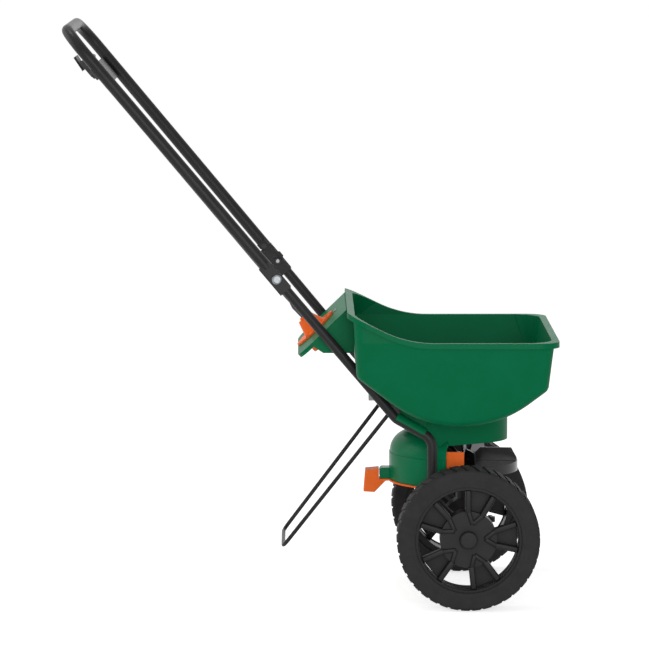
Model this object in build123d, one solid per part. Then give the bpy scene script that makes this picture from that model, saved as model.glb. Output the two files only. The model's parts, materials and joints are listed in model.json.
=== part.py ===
from build123d import *
import os
from math import atan2, cos, degrees, hypot, pi, radians, sin, tan

# Walk-behind garden spreader. +X forward, +Y to the operator's left, +Z up, millimetres.
# Everything is built about the axle line at X = 0 and shifted once, at the end, to the middle of the whole.

# Spacing across the machine
leg_half = 130.0
wheel_offset = 50.0
neck_inset = 10.0

# Wheels
wheel_r = 114.0
track_half = leg_half + wheel_offset
tyre_width = 58.0
tyre_seat_r = 91.5
tyre_shoulder = 7.0
lug_count = 40
lug_groove_depth = 2.2
lug_groove_width = 5.0
lug_groove_skew = 12.0
rim_width = 50.0
rim_wall = 10.5
rim_lip_r = 79.5
rim_lip_front = 20.0
rim_lip_depth = 7.0
spoke_pairs = 5
spoke_half_angle = 15.2
rib_width = 5.6
rib_back = 5.0
rib_front = 21.0
rib_apex_r = 26.0
web_front = 9.0
web_wall = 3.0
hub_disc_r = 45.5
hub_disc_front = 19.0
hub_drum_back = -14.0
hub_wall = 4.0
hub_boss_r = 13.0
hub_boss_front = 22.0
hub_boss_back = -35.0
hub_cap_r = 14.0
hub_cap_height = 6.0
right_wheel_turn = 3.4
left_wheel_turn = 0.0

# Axle, bushes and drive
axle_r = 4.75
axle_end_gap = 2.0
running_gap = 0.05
seat_gap = 0.3
eye_r = 14.0
eye_width = 18.0
bush_r = 8.0
bush_flange_r = 11.0
bush_flange = 1.5
spacer_r = 9.0
drive_pin_r = 2.0
drive_pin_half = 11.0
drive_pin_inset = 6.0

# Bevel pair and gearbox
tooth_module = 1.5
gear_teeth = 36
pinion_teeth = 12
gear_face = 8.0
tooth_fill = 0.38
tooth_height = 2.6
gear_hub_r = 10.0
gear_back = 7.0
shaft_r = 4.0
box_r = 36.0
box_wall = 3.5
box_low_y = -14.0
box_high_y = 22.0
box_collar_r = 13.0
box_collar_top = 190.0
box_ear = 44.0
box_ear_width = 16.0
box_ear_half = 4.0
box_boss_r = 9.5
box_boss_length = 12.0
box_screw_r = 2.0
box_screw_head_r = 3.8

# Impeller
impeller_r = 88.0
impeller_top = 214.0
impeller_bottom = 198.0
impeller_wall = 3.0
impeller_hub_r = 12.0
vane_count = 5
vane_height = 21.0
vane_chamfer = 9.0
vane_turn = -6.0
vane_sweep = 14.0
impeller_pin_r = 1.5
agitator_r = 2.0
agitator_half = 30.0
agitator_height = 275.0
shaft_top = 284.0
floor_bush_r = 7.5

# Hopper
hopper_wall = 3.0
lip_front = 144.0
lip_rear = -193.0
lip_half = 212.0
lip_overhang = 6.0
lip_height = 9.0
lip_corner = 34.0
rim_level = 429.5
rim_rear_level = 476.0
rim_sweep_r = 185.0
rim_sweep_angle = 26.0
body_front = 135.5
body_front_foot = 127.5
body_rear = -184.0
body_rear_foot = -178.0
body_half = 206.0
body_half_foot = 166.0
body_corner = 15.0
belly_centre = -12.0
belly_r = 178.0
belly_low = 289.5
belly_slope = 38.0
neck_r = 71.0
neck_flare = 60.0
neck_half = leg_half - neck_inset
neck_rear = -110.0
neck_low = 250.0
neck_step_x = -50.0
neck_rise = 60.0
neck_step = 262.3
chute_r = 62.0
floor_top = 266.0
floor_wall = 3.0
port_length = 30.0
port_width = 6.0
port_x = 34.0
port_y = 26.0

# Handle line: fold pivot, slope and spacing
fold_x = -304.6
fold_z = 526.2
tube_slope = 50.0
bar_reach = 514.0
bar_half = 176.0
bar_bend_r = 48.0
upper_r = 9.5
upper_wall = 1.4
fold_half = 150.5
channel_reach = 24.0
channel_top = 30.0
channel_overlap = 6.0
channel_web = 1.5
channel_back = 12.0
channel_gap = 0.35
bolt_r = 3.0
bolt_head_r = 8.2
bolt_head = 4.5
nut_r = 6.0
nut_height = 4.5

# Lower tubes and kickstand
lower_r = 7.95
lower_wall = 1.4
tube_bend_x = -114.0
tube_run_slope = 29.5
leg_x = -56.0
leg_foot = 172.0
tube_bend_r = 24.0
leg_bend_r = 26.0
foot_bend_r = 26.0
stand_r = 3.2
stand_foot_x = -295.0
stand_foot_z = 84.0
stand_foot_half = 80.0
stand_foot_bend = 16.0
stand_slope = 52.4
stand_top_bend = 8.0
stand_grip = 4.0

# Console and trigger, measured up the tubes (u) and down from their plane (m)
console_to_bar = 51.0
console_length = 59.0
console_top = -2.5
console_wall = 5.0
console_clamp = 3.0
console_pod_half = 40.0
console_pod_depth = 26.0
console_pod_wall = 4.0
console_pod_length = 27.0
trigger_to_bar = 58.0
trigger_m = 6.8
trigger_r = 3.9
trigger_pin_r = 2.0
trigger_half = 32.5
trigger_reach = 18.0
trigger_tip_m = 28.0
trigger_wall = 3.5
trigger_arm = 7.0
trigger_swing = 30.0
cable_pin_m = 24.5
cable_pin_r = 2.2
cable_m = 20.5
cable_r = 1.1
cable_break_u = -6.0

console_high = bar_reach - console_to_bar
console_low = console_high - console_length
console_pod_low = console_high - console_pod_length
trigger_u = bar_reach - trigger_to_bar
trigger_tip_u = trigger_u + trigger_reach

# Latch on the left tube
latch_u = 34.0
latch_m = 1.5
latch_wall = 3.0
latch_boss_r = 8.0
latch_pin_r = 2.5
latch_tip_u = 3.0
latch_tab = 13.0
latch_blade = 6.5
latch_swing = 25.0

# Control panel, dial and plunger. The panel's middle is where the plunger crosses it.
panel_x = -241.5
panel_z = 428.5
panel_tilt = 44.0
panel_wall = 6.5
panel_low = -41.0
panel_high = 66.0
panel_half = 131.0
panel_corner = 28.0
flange_drop = 10.0
flange_foot = 12.0
gusset_wall = 3.0
gusset_drop = 46.0
dial_r = 39.0
dial_wall = 3.5
dial_hub_r = 21.0
dial_hub_top_r = 13.0
dial_hub_height = 27.0
dial_barrel_r = 27.0
dial_barrel_drop = 25.0
dial_notches = 24
dial_notch_r = 2.4
plunger_r = 5.0
plunger_low = -42.0
plunger_cap = 3.0
plunger_cap_r = 8.0
ferrule_r = 4.5
ferrule_length = 30.0
ferrule_eye = 9.0
rod_r = 2.0
rod_bend_x = -135.0
rod_bend_z = 316.0
rod_end_x = -74.0
rod_end_z = 281.0
rod_bend_r = 40.0
rod_overrun = 7.0
guide_half = 9.0
guide_length = 14.0
guide_low = 312.0
guide_gap = 0.8

# Shut-off plate
shutoff_wall = 2.5
shutoff_front = 50.0
shutoff_half = 44.0
shutoff_tab_half = 9.0
shutoff_tab_top = 296.0
shutoff_rail = 3.0

# Rear shroud and side guard
shroud_r = 121.0
shroud_wall = 3.0
shroud_low = 184.0
shroud_top = 262.0
shroud_dome = 33.0
shroud_neck_r = 60.0
shroud_from = 106.0
shroud_lug_r = 138.0
shroud_lug_half = 13.0
shroud_lug_top = 202.0
guard_r = 113.0
guard_wall = 3.0
guard_low = 190.0
guard_top = 242.0
guard_from = -172.0
guard_to = -92.0
guard_foot = 3.0
guard_foot_r = 123.0
guard_foot_from = -192.0
guard_foot_sweep = 50.0
pedal_half = 15.0
pedal_reach = 164.0
pedal_top = 200.5
pedal_low = 162.0
pedal_foot = 18.0
guard_swing = 35.0

# A length past every piece, for cuts
far = 900.0

# Screws
screw_r = 1.75
screw_head_r = 5.0
screw_head = 2.6
screw_length = 14.0
frame_boss_r = 6.0

# Directions in the side view, worked out from the slopes above
plunger_travel = (cable_pin_m - trigger_m) * sin(radians(trigger_swing))
tube_up = Vector(-cos(radians(tube_slope)), 0, sin(radians(tube_slope)))
tube_under = Vector(-sin(radians(tube_slope)), 0, -cos(radians(tube_slope)))
panel_up = Vector(cos(radians(panel_tilt)), 0, sin(radians(panel_tilt)))
panel_out = Vector(-sin(radians(panel_tilt)), 0, cos(radians(panel_tilt)))
side_view = Plane(origin=(0, 0, 0), x_dir=(1, 0, 0), z_dir=(0, -1, 0))
axle_z = wheel_r
mid_x = (lip_front + fold_x + tube_up.X * bar_reach - upper_r) / 2


def on_handle(u, m, y):
    return Vector(fold_x, y, fold_z) + tube_up * u + tube_under * m


def on_panel(along, out, y):
    return Vector(panel_x, y, panel_z) + panel_up * along + panel_out * out


def cylinder_between(start, end, r):
    start, end = Vector(*start), Vector(*end)
    return extrude(Plane(origin=start, z_dir=end - start) * Circle(r), (end - start).length)


def ring(r, bore, low, high):
    return Pos(0, 0, low) * extrude(Circle(r) - Circle(bore), high - low)


def bent_tube(points, radii, r, bore=0.0):
    path = FilletPolyline(*points, radius=radii)
    section = Circle(r) - Circle(bore) if bore else Circle(r)
    return sweep(Plane(origin=path @ 0, z_dir=path % 0) * section, path=path)


def block(low, high):
    size = [b - a for a, b in zip(low, high)]
    return Pos(*low) * Box(*size, align=(Align.MIN, Align.MIN, Align.MIN))


def across(points, half):
    return extrude(side_view * make_face(Polyline(*points, close=True)), half, both=True)


def both_sides(make):
    return Compound(children=[make(-1), make(1)])


# Wheels are made with their axle along Z and the outer face up, then turned to their side.
def wheel_place(side):
    return Pos(0, side * track_half, axle_z) * Rot(-90 * side, 0, 0)


def tyre(side):
    half = tyre_width / 2
    section = Rectangle(wheel_r - tyre_seat_r, tyre_width, align=(Align.MIN, Align.CENTER))
    section = Pos(tyre_seat_r, 0) * section
    section = fillet(section.vertices().sort_by(Axis.X)[-2:], tyre_shoulder)
    body = revolve(Plane.XZ * section, Axis.Z)
    pitch = 360 / lug_count
    grooves = []
    for k in range(lug_count):
        groove = Box(2 * lug_groove_depth, lug_groove_width, 2.4 * half)
        place = Rot(0, 0, (k + 0.5) * pitch) * Pos(wheel_r, 0, 0) * Rot(lug_groove_skew, 0, 0)
        grooves.append(place * groove)
    return wheel_place(side) * (body - grooves)


def wheel_rim(side):
    turn = right_wheel_turn if side < 0 else left_wheel_turn
    seat = tyre_seat_r
    rim = ring(seat, seat - rim_wall, -rim_width / 2, rim_width / 2)
    rim += ring(seat - rim_wall / 2, rim_lip_r, rim_lip_front - rim_lip_depth, rim_lip_front)
    rim += ring(hub_disc_r, hub_disc_r - hub_wall, hub_drum_back, hub_disc_front)
    rim += ring(hub_disc_r, axle_r, hub_disc_front - hub_wall, hub_disc_front)
    rim += ring(hub_boss_r, axle_r, hub_boss_back, hub_boss_front)
    lip_middle = (rim_lip_r + seat - rim_wall) / 2
    for k in range(spoke_pairs):
        pair = Rot(0, 0, turn + k * 360 / spoke_pairs)
        reach = [(hub_disc_r - 1, -1), (lip_middle, -1), (lip_middle, 1), (hub_disc_r - 1, 1)]
        spread = radians(spoke_half_angle)
        web = Polyline(*[(r * cos(spread), edge * r * sin(spread)) for r, edge in reach], close=True)
        rim += pair * Pos(0, 0, web_front - web_wall) * extrude(make_face(web), web_wall)
        for edge in (-1, 1):
            rim += pair * spoke_rib(edge, lip_middle)
    rim -= Pos(0, 0, hub_boss_back) * extrude(Circle(axle_r + running_gap), hub_boss_front - hub_boss_back)
    if side < 0:
        rim -= Pos(0, 0, hub_boss_back + drive_pin_inset) * Rot(0, 90, 0) * Cylinder(
            drive_pin_r + running_gap, 4 * hub_boss_r
        )
    return wheel_place(side) * rim


def spoke_rib(edge, outer):
    angle = radians(edge * spoke_half_angle)
    inner = hub_disc_r - hub_wall / 2
    start = Vector(inner * cos(angle), inner * sin(angle))
    end = Vector(outer * cos(angle), outer * sin(angle))
    apex = Vector(rib_apex_r, 0)
    rib = bar_on_face(start, end, rib_back, rib_front)
    return rib + bar_on_face(apex, start + (end - start) * 0.05, hub_disc_front - 1, rib_front)


def bar_on_face(start, end, low, high):
    run = end - start
    flat = Pos(start.X, start.Y) * Rot(0, 0, degrees(atan2(run.Y, run.X)))
    face = flat * Rectangle(run.length, rib_width, align=(Align.MIN, Align.CENTER))
    return Pos(0, 0, low) * extrude(face, high - low)


def hub_cap(side):
    cap = Pos(0, 0, hub_boss_front) * Cylinder(
        hub_cap_r, hub_cap_height, align=(Align.CENTER, Align.CENTER, Align.MIN)
    )
    cap = fillet(cap.edges().sort_by(Axis.Z)[-1], hub_cap_height / 2)
    cap -= Pos(0, 0, hub_boss_front) * Cylinder(
        axle_r + running_gap, 2 * axle_end_gap + 1, align=(Align.CENTER, Align.CENTER, Align.MIN)
    )
    return wheel_place(side) * cap


axle_end = track_half + hub_boss_front + axle_end_gap
drive_pin_y = -(track_half + hub_boss_back + drive_pin_inset)


def axle():
    rod = cylinder_between((0, -axle_end, axle_z), (0, axle_end, axle_z), axle_r)
    return rod - cylinder_between(
        (-2 * axle_r, drive_pin_y, axle_z), (2 * axle_r, drive_pin_y, axle_z), drive_pin_r + running_gap
    )


def drive_pin():
    return cylinder_between(
        (-drive_pin_half, drive_pin_y, axle_z), (drive_pin_half, drive_pin_y, axle_z), drive_pin_r
    )


def axle_bushes():
    def make(side):
        inner = side * (leg_half - eye_width / 2)
        outer = side * (leg_half + eye_width / 2)
        bush = cylinder_between((0, inner, axle_z), (0, outer, axle_z), bush_r)
        bush += cylinder_between((0, inner - side * bush_flange, axle_z), (0, inner, axle_z), bush_flange_r)
        return bush - cylinder_between((0, inner - 9 * side, axle_z), (0, outer, axle_z), axle_r + running_gap)

    return both_sides(make)


def wheel_spacers():
    def make(side):
        inner = side * (leg_half + eye_width / 2 + seat_gap)
        outer = side * (track_half + hub_boss_back - seat_gap)
        spacer = cylinder_between((0, inner, axle_z), (0, outer, axle_z), spacer_r)
        return spacer - cylinder_between((0, inner, axle_z), (0, outer, axle_z), axle_r + running_gap)

    return both_sides(make)


# Bevel pair: both pitch cones meet where the axle crosses the upright shaft.
gear_pitch_r = tooth_module * gear_teeth / 2
pinion_pitch_r = tooth_module * pinion_teeth / 2
cone_length = hypot(gear_pitch_r, pinion_pitch_r)


def bevel(teeth, pitch_r, reach, shift):
    along = Vector(pitch_r, 0, reach) / cone_length
    out = Vector(reach, 0, -pitch_r) / cone_length
    tip, root = tooth_height / 2, 1.25 * tooth_height / 2
    half = pi * pitch_r / teeth * tooth_fill
    outlines, roots = [], []
    for scale in (1.0, 1 - gear_face / cone_length):
        pitch_point = Vector(pitch_r, 0, reach) * scale
        plane = Plane(origin=pitch_point, x_dir=out, z_dir=along)
        flank = [(-1.2 * root, -1.3 * half), (tip, -0.55 * half), (tip, 0.55 * half), (-1.2 * root, 1.3 * half)]
        outlines.append(plane * make_face(Polyline(*[(n * scale, t * scale) for n, t in flank], close=True)))
        roots.append(pitch_point - out * (root * scale))
    far, near = roots
    blank = Polyline((0, near.Z), (near.X, near.Z), (far.X, far.Z), (0, far.Z), close=True)
    body = revolve(Plane.XZ * make_face(blank), Axis.Z)
    tooth = loft(outlines)
    return body + [Rot(0, 0, (k + shift) * 360 / teeth) * tooth for k in range(teeth)]


def drive_gear():
    wheel = bevel(gear_teeth, gear_pitch_r, pinion_pitch_r, 0.0)
    wheel += Pos(0, 0, pinion_pitch_r + 1) * Cylinder(
        gear_pitch_r - tooth_height, gear_back, align=(Align.CENTER, Align.CENTER, Align.MIN)
    )
    wheel -= Cylinder(axle_r, 8 * gear_back)
    return Pos(0, 0, axle_z) * Rot(-90, 0, 0) * wheel


def pinion():
    wheel = bevel(pinion_teeth, pinion_pitch_r, gear_pitch_r, 0.5)
    wheel -= Cylinder(shaft_r, 8 * gear_pitch_r)
    return Pos(0, 0, axle_z) * Rot(0, 0, 90) * wheel


pinion_low = axle_z + gear_pitch_r * (1 - gear_face / cone_length)


def gearbox_shell():
    def y_cylinder(r, low, high):
        return cylinder_between((0, low, axle_z), (0, high, axle_z), r)

    shell = y_cylinder(box_r, box_low_y, box_high_y)
    for low, high in ((box_low_y - box_boss_length, box_low_y), (box_high_y, box_high_y + box_boss_length)):
        shell += y_cylinder(box_boss_r, low, high)
    shell += Pos(0, 0, axle_z) * Cylinder(
        box_collar_r, box_collar_top - axle_z, align=(Align.CENTER, Align.CENTER, Align.MIN)
    )
    ear_y = (box_low_y + box_high_y) / 2
    ear = Box(2 * (box_ear + box_ear_width / 2), box_ear_width, 2 * box_ear_half)
    shell += Pos(0, ear_y, axle_z) * fillet(ear.edges().filter_by(Axis.Z), box_ear_width / 2.5)
    shell -= y_cylinder(box_r - box_wall, box_low_y + box_wall, box_high_y - box_wall)
    shell -= y_cylinder(axle_r + running_gap, box_low_y - 30, box_high_y + 30)
    shell -= Pos(0, 0, axle_z) * Cylinder(
        shaft_r + running_gap, 2 * box_collar_top, align=(Align.CENTER, Align.CENTER, Align.MIN)
    )
    for x in (-box_ear, box_ear):
        shell -= Pos(x, ear_y, axle_z) * Cylinder(box_screw_r + running_gap, 4 * box_ear_half)
    return shell


def gearbox_upper():
    return gearbox_shell() & block((-200, -200, axle_z), (200, 200, 2 * box_collar_top))


def gearbox_lower():
    return gearbox_shell() & block((-200, -200, -200), (200, 200, axle_z))


def gearbox_screws():
    ear_y = (box_low_y + box_high_y) / 2
    screws = []
    for x in (-box_ear, box_ear):
        top = axle_z + box_ear_half
        shank = cylinder_between((x, ear_y, axle_z - box_ear_half), (x, ear_y, top), box_screw_r)
        screws.append(shank + cylinder_between((x, ear_y, top), (x, ear_y, top + screw_head), box_screw_head_r))
    return Compound(children=screws)


def impeller_shaft():
    rod = cylinder_between((0, 0, pinion_low), (0, 0, shaft_top), shaft_r)
    for height, r in ((agitator_height, agitator_r), (impeller_pin_z, impeller_pin_r)):
        rod -= cylinder_between((-20, 0, height), (20, 0, height), r)
        rod -= cylinder_between((0, -20, height), (0, 20, height), r) if r == agitator_r else []
    return rod


impeller_pin_z = box_collar_top + 5.0


def impeller():
    disc = ring(impeller_r, shaft_r, impeller_top - impeller_wall, impeller_top)
    disc += ring(impeller_r, impeller_r - impeller_wall, impeller_bottom, impeller_top)
    disc += ring(impeller_hub_r, shaft_r, box_collar_top + seat_gap, impeller_top + 6)
    inner, outer = impeller_hub_r - 2, impeller_r - 1
    profile = Polyline(
        (inner, impeller_top - 1),
        (outer, impeller_top - 1),
        (outer, impeller_top + vane_height - 1.8 * vane_chamfer),
        (outer - vane_chamfer, impeller_top + vane_height),
        (inner + 2 * vane_chamfer, impeller_top + vane_height),
        (inner, impeller_top + 4),
        close=True,
    )
    vane = extrude(side_view * make_face(profile), impeller_wall / 2, both=True)
    vane = Pos(inner, 0, 0) * Rot(0, 0, vane_sweep) * Pos(-inner, 0, 0) * vane
    for k in range(vane_count):
        disc += Rot(0, 0, vane_turn - vane_sweep + k * 360 / vane_count) * vane
    disc &= Cylinder(impeller_r, 4 * impeller_top)
    disc -= Cylinder(shaft_r, 4 * impeller_top)
    return disc - cylinder_between((-20, 0, impeller_pin_z), (20, 0, impeller_pin_z), impeller_pin_r)


def impeller_pin():
    return cylinder_between(
        (-impeller_hub_r, 0, impeller_pin_z), (impeller_hub_r, 0, impeller_pin_z), impeller_pin_r
    )


def agitator():
    return cylinder_between((0, -agitator_half, agitator_height), (0, agitator_half, agitator_height), agitator_r)


# Hopper: a tub cut from its side outline and its end outline, so the walls draft in towards the belly.
def tub(inset):
    slope = radians(belly_slope)
    r = belly_r - inset
    centre_z = belly_low + belly_r
    tangent_x = r * sin(slope)
    tangent_z = centre_z - r * cos(slope)
    front_x = body_front_foot - inset
    rear_x = body_rear_foot + inset
    front_z = tangent_z + (front_x - belly_centre - tangent_x) * tan(slope)
    rear_z = tangent_z + (belly_centre - tangent_x - rear_x) * tan(slope)
    top = rim_rear_level + 2 * lip_height
    front_draft = (body_front - body_front_foot) / (rim_level - front_z)
    rear_draft = (body_rear_foot - body_rear) / (rim_rear_level - rear_z)
    lines = [
        Polyline(
            (belly_centre - tangent_x, tangent_z),
            (rear_x, rear_z),
            (rear_x - rear_draft * (top - rear_z), top),
            (front_x + front_draft * (top - front_z), top),
            (front_x, front_z),
            (belly_centre + tangent_x, tangent_z),
        ),
        ThreePointArc(
            (belly_centre + tangent_x, tangent_z),
            (belly_centre, centre_z - r),
            (belly_centre - tangent_x, tangent_z),
        ),
    ]
    body = extrude(side_view * make_face(lines), 2 * body_half, both=True)
    draft = (body_half - body_half_foot) / (rim_level - belly_low)
    half_top = body_half - inset
    low = belly_low - 5
    half_low = body_half_foot - inset - 5 * draft
    end = Polyline(
        (-half_low, low),
        (half_low, low),
        (half_top, rim_level),
        (half_top, top),
        (-half_top, top),
        (-half_top, rim_level),
        close=True,
    )
    body &= extrude(Plane.YZ * make_face(end), 600, both=True)
    rounded = []
    for edge in body.edges():
        middle = edge.center()
        smooth_join = abs(abs(middle.X - belly_centre) - tangent_x) < 1 and abs(middle.Y) < 1
        bend_line = abs(middle.Z - rim_level) < 0.5
        if middle.Z < top - 1 and not smooth_join and not bend_line:
            rounded.append(edge)
    return fillet(rounded, body_corner - inset)


def rim_outline(drop):
    slope = radians(rim_sweep_angle)
    rise = rim_rear_level - rim_level
    arc_x, arc_z = rim_sweep_r * sin(slope), rim_sweep_r * (1 - cos(slope))
    start_x = lip_rear + arc_x + (rise - arc_z) / tan(slope)
    z = rim_level - drop
    mid = slope / 2
    return [
        Line((lip_front + 50, z), (start_x, z)),
        ThreePointArc(
            (start_x, z),
            (start_x - rim_sweep_r * sin(mid), z + rim_sweep_r * (1 - cos(mid))),
            (start_x - arc_x, z + arc_z),
        ),
        Line((start_x - arc_x, z + arc_z), (lip_rear, z + rise)),
        Line((lip_rear, z + rise), (lip_rear - 50, z + rise)),
    ]


def above_rim(drop):
    lines = rim_outline(drop)
    high = rim_rear_level + 200
    lines.append(
        Polyline(
            (lip_rear - 50, rim_rear_level - drop),
            (lip_rear - 50, high),
            (lip_front + 50, high),
            (lip_front + 50, rim_level - drop),
        )
    )
    return extrude(side_view * make_face(lines), 2 * lip_half, both=True)


def hopper_lip():
    length = lip_front - lip_rear
    plan = RectangleRounded(length, 2 * lip_half, lip_corner)
    lip = Pos((lip_front + lip_rear) / 2, 0, 0) * extrude(plan, 2 * rim_rear_level)
    return (lip & above_rim(lip_height)) - above_rim(0)


def neck_plan(inset):
    r = neck_r - inset
    angle = radians(neck_flare)
    corner = Vector(r * cos(angle), r * sin(angle))
    half = neck_half - inset
    shoulder_x = corner.X - (half - corner.Y) * tan(angle)
    lines = [
        ThreePointArc((corner.X, -corner.Y), (r, 0), (corner.X, corner.Y)),
        Polyline(
            (corner.X, corner.Y),
            (shoulder_x, half),
            (neck_rear + inset, half),
            (neck_rear + inset, -half),
            (shoulder_x, -half),
            (corner.X, -corner.Y),
        ),
    ]
    return make_face(lines)


def tube_line_z(x):
    return fold_z - (x - fold_x) * tan(radians(tube_slope))


tube_bend_z = tube_line_z(tube_bend_x)
leg_top_z = tube_bend_z - (leg_x - tube_bend_x) * tan(radians(tube_run_slope))


def run_line_z(x):
    return tube_bend_z - (x - tube_bend_x) * tan(radians(tube_run_slope))


def neck():
    high = belly_low + neck_rise
    wall = extrude(neck_plan(0) - neck_plan(hopper_wall), high)
    run = Polyline(
        (far, neck_low),
        (neck_step_x, neck_low),
        (neck_step_x, neck_step),
        (leg_x - 10, neck_step),
        (leg_x - 10, run_line_z(leg_x - 10) - lower_r + 2),
        (2 * neck_rear, run_line_z(2 * neck_rear) - lower_r + 2),
        (2 * neck_rear, high),
        (far, high),
        close=True,
    )
    wall &= extrude(side_view * make_face(run), 2 * neck_half, both=True)
    tube = ring(chute_r + hopper_wall, chute_r, floor_top - floor_wall, high)
    floor = ring(chute_r + hopper_wall, floor_bush_r, floor_top - floor_wall, floor_top)
    for side in (-1, 1):
        floor -= Pos(port_x, side * port_y, floor_top) * Box(port_width, port_length, 4 * floor_wall)
        rail_y = side * (shutoff_half + seat_gap)
        rail_low = floor_top - floor_wall - shutoff_wall - 2 * seat_gap
        far_y = rail_y + side * shutoff_rail
        rail = block(
            (-chute_r + 25, min(rail_y, far_y), rail_low - shutoff_rail),
            (chute_r - 25, max(rail_y, far_y), floor_top - floor_wall),
        )
        near_y = rail_y - 2 * side * shutoff_rail
        rail += block(
            (-chute_r + 25, min(near_y, far_y), rail_low - shutoff_rail),
            (chute_r - 25, max(near_y, far_y), rail_low),
        )
        floor += rail
    return wall + tube + floor


def hopper():
    shell = (tub(0) - above_rim(0)) + hopper_lip() + neck()
    hollow = tub(hopper_wall)
    for x, y, z, side in frame_screw_places():
        shell += cylinder_between((x, side * (neck_half - 1), z), (x, side * leg_half, z), frame_boss_r)
    for side in (-1, 1):
        shell -= tube_rod(side, lower_r)
        hollow -= tube_rod(side, lower_r + hopper_wall)
    shell -= hollow
    shell -= Pos(0, 0, floor_top) * Cylinder(
        chute_r, far, align=(Align.CENTER, Align.CENTER, Align.MIN)
    )
    rod_slot = 2 * (rod_r + guide_gap + plunger_travel)
    shell -= Pos(neck_rear, 0, rod_line_z(neck_rear)) * Box(6 * hopper_wall, 12 * rod_r, rod_slot)
    for x, y, z, side in frame_screw_places():
        shell -= cylinder_between((x, y - side, z), (x, side * leg_half, z), screw_r)
    for along, y in panel_screw_places():
        head = on_panel(along, 0, y)
        shell -= cylinder_between((head.X, y, panel_screw_z), (0, y, panel_screw_z), screw_r)
    return shell


def rod_line_z(x):
    part = (x - rod_bend_x) / (rod_end_x - rod_bend_x)
    return rod_bend_z + part * (rod_end_z - rod_bend_z)


def frame_screw_places():
    places = []
    for side in (-1, 1):
        for x in (tube_bend_x + 16, leg_x - 24):
            places.append((x, side * (neck_half - hopper_wall), run_line_z(x) + 1.5, side))
    return places


def frame_screws():
    screws = []
    for x, y, z, side in frame_screw_places():
        shank = cylinder_between((x, y, z), (x, side * (leg_half - lower_r + lower_wall + 2), z), screw_r)
        screws.append(shank + cylinder_between((x, y - side * screw_head, z), (x, y, z), screw_head_r))
    return Compound(children=screws)


def tube_points(side):
    straight = on_handle(-channel_reach - 8, 0, side * fold_half)
    return [
        (fold_x, side * fold_half, fold_z),
        tuple(straight),
        (tube_bend_x, side * leg_half, tube_bend_z),
        (leg_x, side * leg_half, leg_top_z),
    ]


def tube_rod(side, r):
    return bent_tube(tube_points(side), [2 * tube_bend_r, tube_bend_r], r)


def lower_tube(side):
    foot = Vector(0 - leg_x, 0, axle_z - leg_foot)
    foot = foot * ((foot.length - eye_r + 4) / foot.length)
    points = tube_points(side) + [
        (leg_x, side * leg_half, leg_foot),
        (leg_x + foot.X, side * leg_half, leg_foot + foot.Z),
    ]
    bends = [2 * tube_bend_r, tube_bend_r, leg_bend_r, foot_bend_r]
    tube = bent_tube(points, bends, lower_r, lower_r - lower_wall)
    inner, outer = side * (leg_half - eye_width / 2), side * (leg_half + eye_width / 2)
    tube += cylinder_between((0, inner, axle_z), (0, outer, axle_z), eye_r)
    tube -= cylinder_between((0, inner, axle_z), (0, outer, axle_z), bush_r)
    end_y = side * (fold_half - lower_r), side * (fold_half + lower_r)
    tube += cylinder_between((fold_x, end_y[0], fold_z), (fold_x, end_y[1], fold_z), lower_r)
    bolt = cylinder_between(
        (fold_x, side * (fold_half - 30), fold_z), (fold_x, side * (fold_half + 30), fold_z), bolt_r + running_gap
    )
    tube -= bolt
    stand = stand_top(side)
    tube -= cylinder_between(
        (stand.X, side * (leg_half - 30), stand.Z), (stand.X, stand.Y, stand.Z), stand_r + running_gap
    )
    for x, y, z, screw_side in frame_screw_places():
        if screw_side == side:
            tube -= cylinder_between((x, y, z), (x, side * leg_half, z), screw_r)
    return tube


def stand_top(side):
    slope, rise = tan(radians(tube_slope)), tan(radians(stand_slope))
    x = (fold_z + slope * fold_x - stand_foot_z + rise * stand_foot_x) / (slope + rise)
    start_x = tube_points(1)[1][0]
    share = (x - start_x) / (tube_bend_x - start_x)
    tube_y = fold_half + (leg_half - fold_half) * share
    return Vector(x, side * (tube_y - lower_r + stand_grip), tube_line_z(x))


def kickstand():
    right, left = stand_top(-1), stand_top(1)
    in_y = abs(right.Y) - stand_grip - stand_top_bend - stand_r
    points = [
        tuple(right),
        (right.X, -in_y, right.Z),
        (stand_foot_x, -stand_foot_half, stand_foot_z),
        (stand_foot_x, stand_foot_half, stand_foot_z),
        (left.X, in_y, left.Z),
        tuple(left),
    ]
    bends = [stand_top_bend, stand_foot_bend, stand_foot_bend, stand_top_bend]
    return bent_tube(points, bends, stand_r)


def upper_handle():
    start = channel_top - channel_overlap
    start_y = handle_half(start)
    points = [
        on_handle(start, 0, -start_y),
        on_handle(bar_reach, 0, -bar_half),
        on_handle(bar_reach, 0, bar_half),
        on_handle(start, 0, start_y),
    ]
    tube = bent_tube(points, [bar_bend_r, bar_bend_r], upper_r, upper_r - upper_wall)
    for side in (-1, 1):
        tube += fold_channel(side)
    for y in (-1, 1):
        tube -= cylinder_between(
            (fold_x, y * (fold_half - 30), fold_z), (fold_x, y * (fold_half + 30), fold_z), bolt_r
        )
    pin = on_handle(latch_u, latch_m, 0)
    pin_y = handle_half(latch_u)
    tube -= cylinder_between((pin.X, pin_y - 40, pin.Z), (pin.X, pin_y, pin.Z), latch_pin_r)
    for u, y in console_screw_places():
        tube -= cylinder_between(on_handle(u, 0, y), on_handle(u, 2 * upper_r, y), screw_r)
    return tube


def handle_half(u):
    return fold_half + (bar_half - fold_half) * u / bar_reach


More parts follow.
